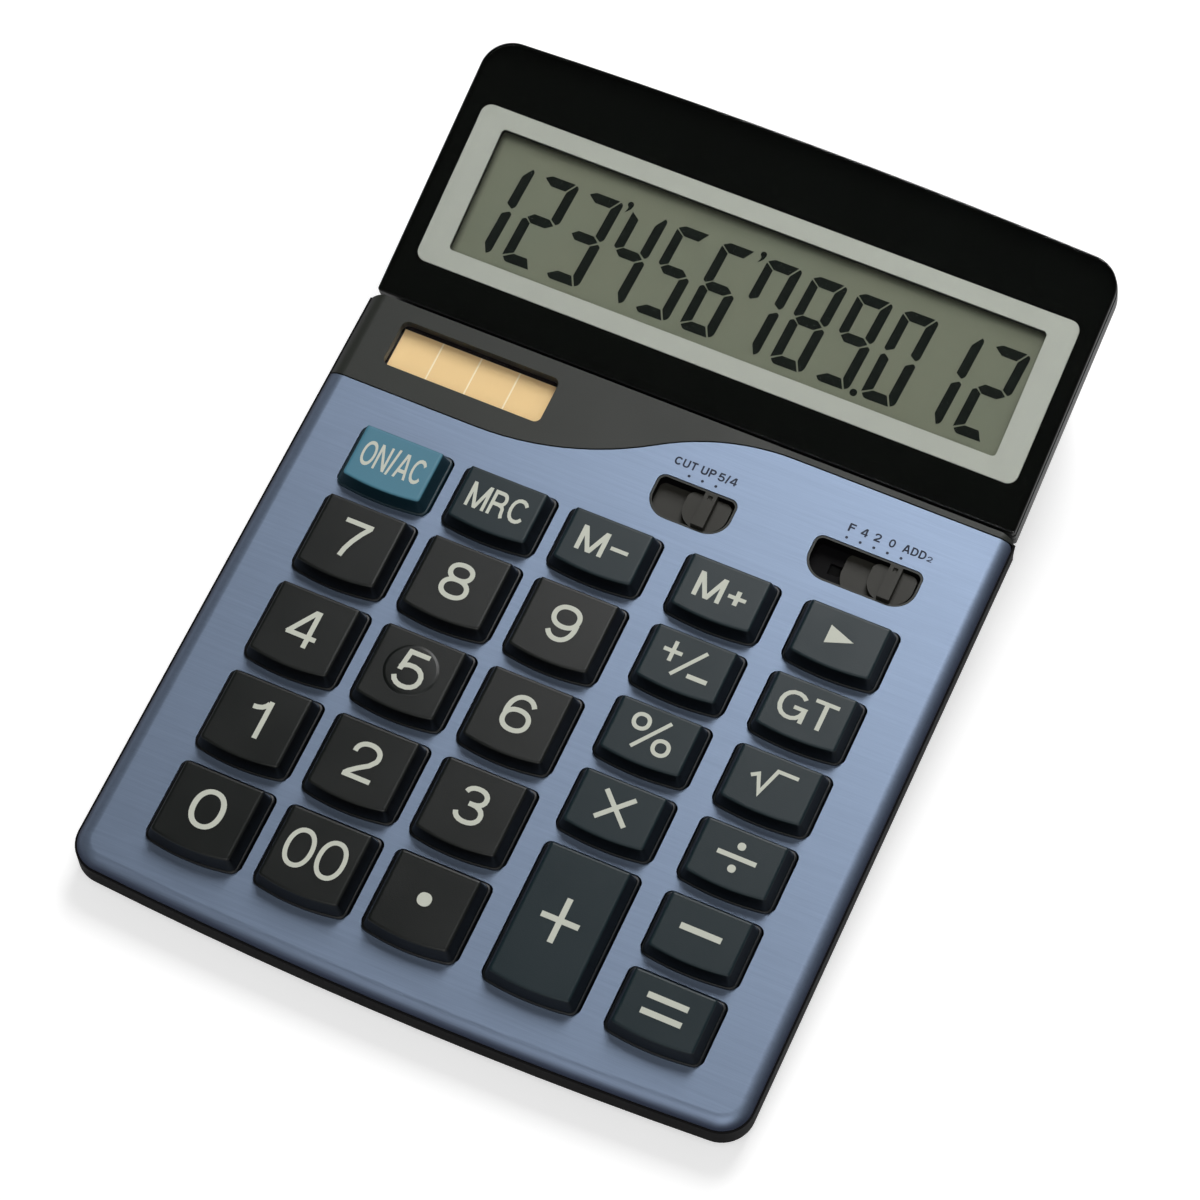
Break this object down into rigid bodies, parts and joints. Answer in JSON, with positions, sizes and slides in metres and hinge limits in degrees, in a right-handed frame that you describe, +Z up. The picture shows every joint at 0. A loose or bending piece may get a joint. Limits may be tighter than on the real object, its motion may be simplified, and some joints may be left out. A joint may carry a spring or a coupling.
{
  "type": "desktop calculator",
  "caption": "Sloping desktop calculator with a tilting display head, bevelled press keys, two slide switches, a solar cell and a battery bay.",
  "frame": {"origin": "centre of the footprint, on the table surface under the rubber feet", "axes": "+X to the user's right, +Y from the user towards the display head, +Z up"},
  "size_m": [0.138, 0.1935, 0.0443],
  "materials": {
    "plate_blue": "brushed blue anodised",
    "housing_dark": "fine moulded grain",
    "shell_dark": "fine moulded grain",
    "digit_key": "satin",
    "function_key": "satin",
    "clear_key": "satin",
    "knob_dark": "satin",
    "head_black": "gloss",
    "head_grey": "satin",
    "clear_lens": "clear acrylic",
    "trim_silver": "satin silver",
    "lcd_grey": "polariser film",
    "cell_cream": "cell under clear film",
    "mat_rubber": "silicone",
    "board_brown": "phenolic board",
    "chip_black": "epoxy",
    "component_metal": "bare",
    "spring_brass": "bare",
    "steel": "zinc plated",
    "foot_rubber": "matt",
    "connector_rubber": "layered silicone",
    "ribbon_white": "flat cable",
    "lead_red": "insulated wire"
  },
  "bodies": {
    "base": {"front_plate": "plate_blue", "upper_housing": "housing_dark", "lower_housing": "shell_dark", "keypad_mat": "mat_rubber", "main_board": "board_brown", "controller_chip": "chip_black", "board_components": "component_metal", "board_screws": "steel", "solar_window": "clear_lens", "solar_cell": "cell_cream", "display_ribbon_base": "ribbon_white", "battery": "steel", "battery_contact_plus": "spring_brass", "battery_contact_minus": "spring_brass", "power_leads": "lead_red", "base_screws": "steel", "rubber_feet": "foot_rubber"},
    "display_head": {"display_lens": "clear_lens", "head_front_case": "head_black", "display_trim_frame": "trim_silver", "lcd_glass": "lcd_grey", "lcd_connectors": "connector_rubber", "display_board": "board_brown", "display_board_screws": "steel", "head_back_case": "head_grey", "head_case_screws": "steel", "hinge_pins": "steel", "hinge_washers": "steel", "display_ribbon_head": "ribbon_white"},
    "rounding_switch": {"rounding_switch_knob": "knob_dark", "rounding_switch_wiper": "spring_brass"},
    "decimal_switch": {"decimal_switch_knob": "knob_dark", "decimal_switch_wiper": "spring_brass"},
    "door": {"battery_door": "shell_dark"},
    "key_on_ac_cap": {"key_on_ac": "clear_key"},
    "key_mrc_cap": {"key_mrc": "function_key"},
    "key_m_minus_cap": {"key_m_minus": "function_key"},
    "key_7_cap": {"key_7": "digit_key"},
    "key_8_cap": {"key_8": "digit_key"},
    "key_9_cap": {"key_9": "digit_key"},
    "key_4_cap": {"key_4": "digit_key"},
    "key_5_cap": {"key_5": "digit_key"},
    "key_6_cap": {"key_6": "digit_key"},
    "key_1_cap": {"key_1": "digit_key"},
    "key_2_cap": {"key_2": "digit_key"},
    "key_3_cap": {"key_3": "digit_key"},
    "key_0_cap": {"key_0": "digit_key"},
    "key_00_cap": {"key_00": "digit_key"},
    "key_point_cap": {"key_point": "digit_key"},
    "key_m_plus_cap": {"key_m_plus": "function_key"},
    "key_sign_cap": {"key_sign": "function_key"},
    "key_percent_cap": {"key_percent": "function_key"},
    "key_multiply_cap": {"key_multiply": "function_key"},
    "key_plus_cap": {"key_plus": "function_key"},
    "key_shift_right_cap": {"key_shift_right": "function_key"},
    "key_grand_total_cap": {"key_grand_total": "function_key"},
    "key_root_cap": {"key_root": "function_key"},
    "key_divide_cap": {"key_divide": "function_key"},
    "key_minus_cap": {"key_minus": "function_key"},
    "key_equals_cap": {"key_equals": "function_key"}
  },
  "joints": [
    {"name": "head_tilt", "type": "hinge", "parent": "base", "child": "display_head", "pos_m": [0, 0.04483, 0.0204], "axis": [1, 0, 0], "range_deg": [-13.2, 25]},
    {"name": "rounding_switch_slide", "type": "slide", "parent": "base", "child": "rounding_switch", "axis": [1, 0, 0], "range_m": [-0.00566, 0]},
    {"name": "decimal_switch_slide", "type": "slide", "parent": "base", "child": "decimal_switch", "axis": [1, 0, 0], "range_m": [-0.01132, 0]},
    {"name": "battery_door_pull", "type": "slide", "parent": "base", "child": "door", "axis": [0, 0, -1], "range_m": [0, 0.012]},
    {"name": "key_on_ac_press", "type": "slide", "parent": "base", "child": "key_on_ac_cap", "axis": [0, -0.1045, 0.9945], "range_m": [-0.0015, 0], "stiffness_N_per_m": 300, "springref_m": 0.001, "deforming": ["keypad_mat"]},
    {"name": "key_mrc_press", "type": "slide", "parent": "base", "child": "key_mrc_cap", "axis": [0, -0.1045, 0.9945], "range_m": [-0.0015, 0], "stiffness_N_per_m": 300, "springref_m": 0.001, "deforming": ["keypad_mat"]},
    {"name": "key_m_minus_press", "type": "slide", "parent": "base", "child": "key_m_minus_cap", "axis": [0, -0.1045, 0.9945], "range_m": [-0.0015, 0], "stiffness_N_per_m": 300, "springref_m": 0.001, "deforming": ["keypad_mat"]},
    {"name": "key_7_press", "type": "slide", "parent": "base", "child": "key_7_cap", "axis": [0, -0.1045, 0.9945], "range_m": [-0.0015, 0], "stiffness_N_per_m": 300, "springref_m": 0.001, "deforming": ["keypad_mat"]},
    {"name": "key_8_press", "type": "slide", "parent": "base", "child": "key_8_cap", "axis": [0, -0.1045, 0.9945], "range_m": [-0.0015, 0], "stiffness_N_per_m": 300, "springref_m": 0.001, "deforming": ["keypad_mat"]},
    {"name": "key_9_press", "type": "slide", "parent": "base", "child": "key_9_cap", "axis": [0, -0.1045, 0.9945], "range_m": [-0.0015, 0], "stiffness_N_per_m": 300, "springref_m": 0.001, "deforming": ["keypad_mat"]},
    {"name": "key_4_press", "type": "slide", "parent": "base", "child": "key_4_cap", "axis": [0, -0.1045, 0.9945], "range_m": [-0.0015, 0], "stiffness_N_per_m": 300, "springref_m": 0.001, "deforming": ["keypad_mat"]},
    {"name": "key_5_press", "type": "slide", "parent": "base", "child": "key_5_cap", "axis": [0, -0.1045, 0.9945], "range_m": [-0.0015, 0], "stiffness_N_per_m": 300, "springref_m": 0.001, "deforming": ["keypad_mat"]},
    {"name": "key_6_press", "type": "slide", "parent": "base", "child": "key_6_cap", "axis": [0, -0.1045, 0.9945], "range_m": [-0.0015, 0], "stiffness_N_per_m": 300, "springref_m": 0.001, "deforming": ["keypad_mat"]},
    {"name": "key_1_press", "type": "slide", "parent": "base", "child": "key_1_cap", "axis": [0, -0.1045, 0.9945], "range_m": [-0.0015, 0], "stiffness_N_per_m": 300, "springref_m": 0.001, "deforming": ["keypad_mat"]},
    {"name": "key_2_press", "type": "slide", "parent": "base", "child": "key_2_cap", "axis": [0, -0.1045, 0.9945], "range_m": [-0.0015, 0], "stiffness_N_per_m": 300, "springref_m": 0.001, "deforming": ["keypad_mat"]},
    {"name": "key_3_press", "type": "slide", "parent": "base", "child": "key_3_cap", "axis": [0, -0.1045, 0.9945], "range_m": [-0.0015, 0], "stiffness_N_per_m": 300, "springref_m": 0.001, "deforming": ["keypad_mat"]},
    {"name": "key_0_press", "type": "slide", "parent": "base", "child": "key_0_cap", "axis": [0, -0.1045, 0.9945], "range_m": [-0.0015, 0], "stiffness_N_per_m": 300, "springref_m": 0.001, "deforming": ["keypad_mat"]},
    {"name": "key_00_press", "type": "slide", "parent": "base", "child": "key_00_cap", "axis": [0, -0.1045, 0.9945], "range_m": [-0.0015, 0], "stiffness_N_per_m": 300, "springref_m": 0.001, "deforming": ["keypad_mat"]},
    {"name": "key_point_press", "type": "slide", "parent": "base", "child": "key_point_cap", "axis": [0, -0.1045, 0.9945], "range_m": [-0.0015, 0], "stiffness_N_per_m": 300, "springref_m": 0.001, "deforming": ["keypad_mat"]},
    {"name": "key_m_plus_press", "type": "slide", "parent": "base", "child": "key_m_plus_cap", "axis": [0, -0.1045, 0.9945], "range_m": [-0.0015, 0], "stiffness_N_per_m": 300, "springref_m": 0.001, "deforming": ["keypad_mat"]},
    {"name": "key_sign_press", "type": "slide", "parent": "base", "child": "key_sign_cap", "axis": [0, -0.1045, 0.9945], "range_m": [-0.0015, 0], "stiffness_N_per_m": 300, "springref_m": 0.001, "deforming": ["keypad_mat"]},
    {"name": "key_percent_press", "type": "slide", "parent": "base", "child": "key_percent_cap", "axis": [0, -0.1045, 0.9945], "range_m": [-0.0015, 0], "stiffness_N_per_m": 300, "springref_m": 0.001, "deforming": ["keypad_mat"]},
    {"name": "key_multiply_press", "type": "slide", "parent": "base", "child": "key_multiply_cap", "axis": [0, -0.1045, 0.9945], "range_m": [-0.0015, 0], "stiffness_N_per_m": 300, "springref_m": 0.001, "deforming": ["keypad_mat"]},
    {"name": "key_plus_press", "type": "slide", "parent": "base", "child": "key_plus_cap", "axis": [0, -0.1045, 0.9945], "range_m": [-0.0015, 0], "stiffness_N_per_m": 300, "springref_m": 0.001, "deforming": ["keypad_mat"]},
    {"name": "key_shift_right_press", "type": "slide", "parent": "base", "child": "key_shift_right_cap", "axis": [0, -0.1045, 0.9945], "range_m": [-0.0015, 0], "stiffness_N_per_m": 300, "springref_m": 0.001, "deforming": ["keypad_mat"]},
    {"name": "key_grand_total_press", "type": "slide", "parent": "base", "child": "key_grand_total_cap", "axis": [0, -0.1045, 0.9945], "range_m": [-0.0015, 0], "stiffness_N_per_m": 300, "springref_m": 0.001, "deforming": ["keypad_mat"]},
    {"name": "key_root_press", "type": "slide", "parent": "base", "child": "key_root_cap", "axis": [0, -0.1045, 0.9945], "range_m": [-0.0015, 0], "stiffness_N_per_m": 300, "springref_m": 0.001, "deforming": ["keypad_mat"]},
    {"name": "key_divide_press", "type": "slide", "parent": "base", "child": "key_divide_cap", "axis": [0, -0.1045, 0.9945], "range_m": [-0.0015, 0], "stiffness_N_per_m": 300, "springref_m": 0.001, "deforming": ["keypad_mat"]},
    {"name": "key_minus_press", "type": "slide", "parent": "base", "child": "key_minus_cap", "axis": [0, -0.1045, 0.9945], "range_m": [-0.0015, 0], "stiffness_N_per_m": 300, "springref_m": 0.001, "deforming": ["keypad_mat"]},
    {"name": "key_equals_press", "type": "slide", "parent": "base", "child": "key_equals_cap", "axis": [0, -0.1045, 0.9945], "range_m": [-0.0015, 0], "stiffness_N_per_m": 300, "springref_m": 0.001, "deforming": ["keypad_mat"]}
  ]
}
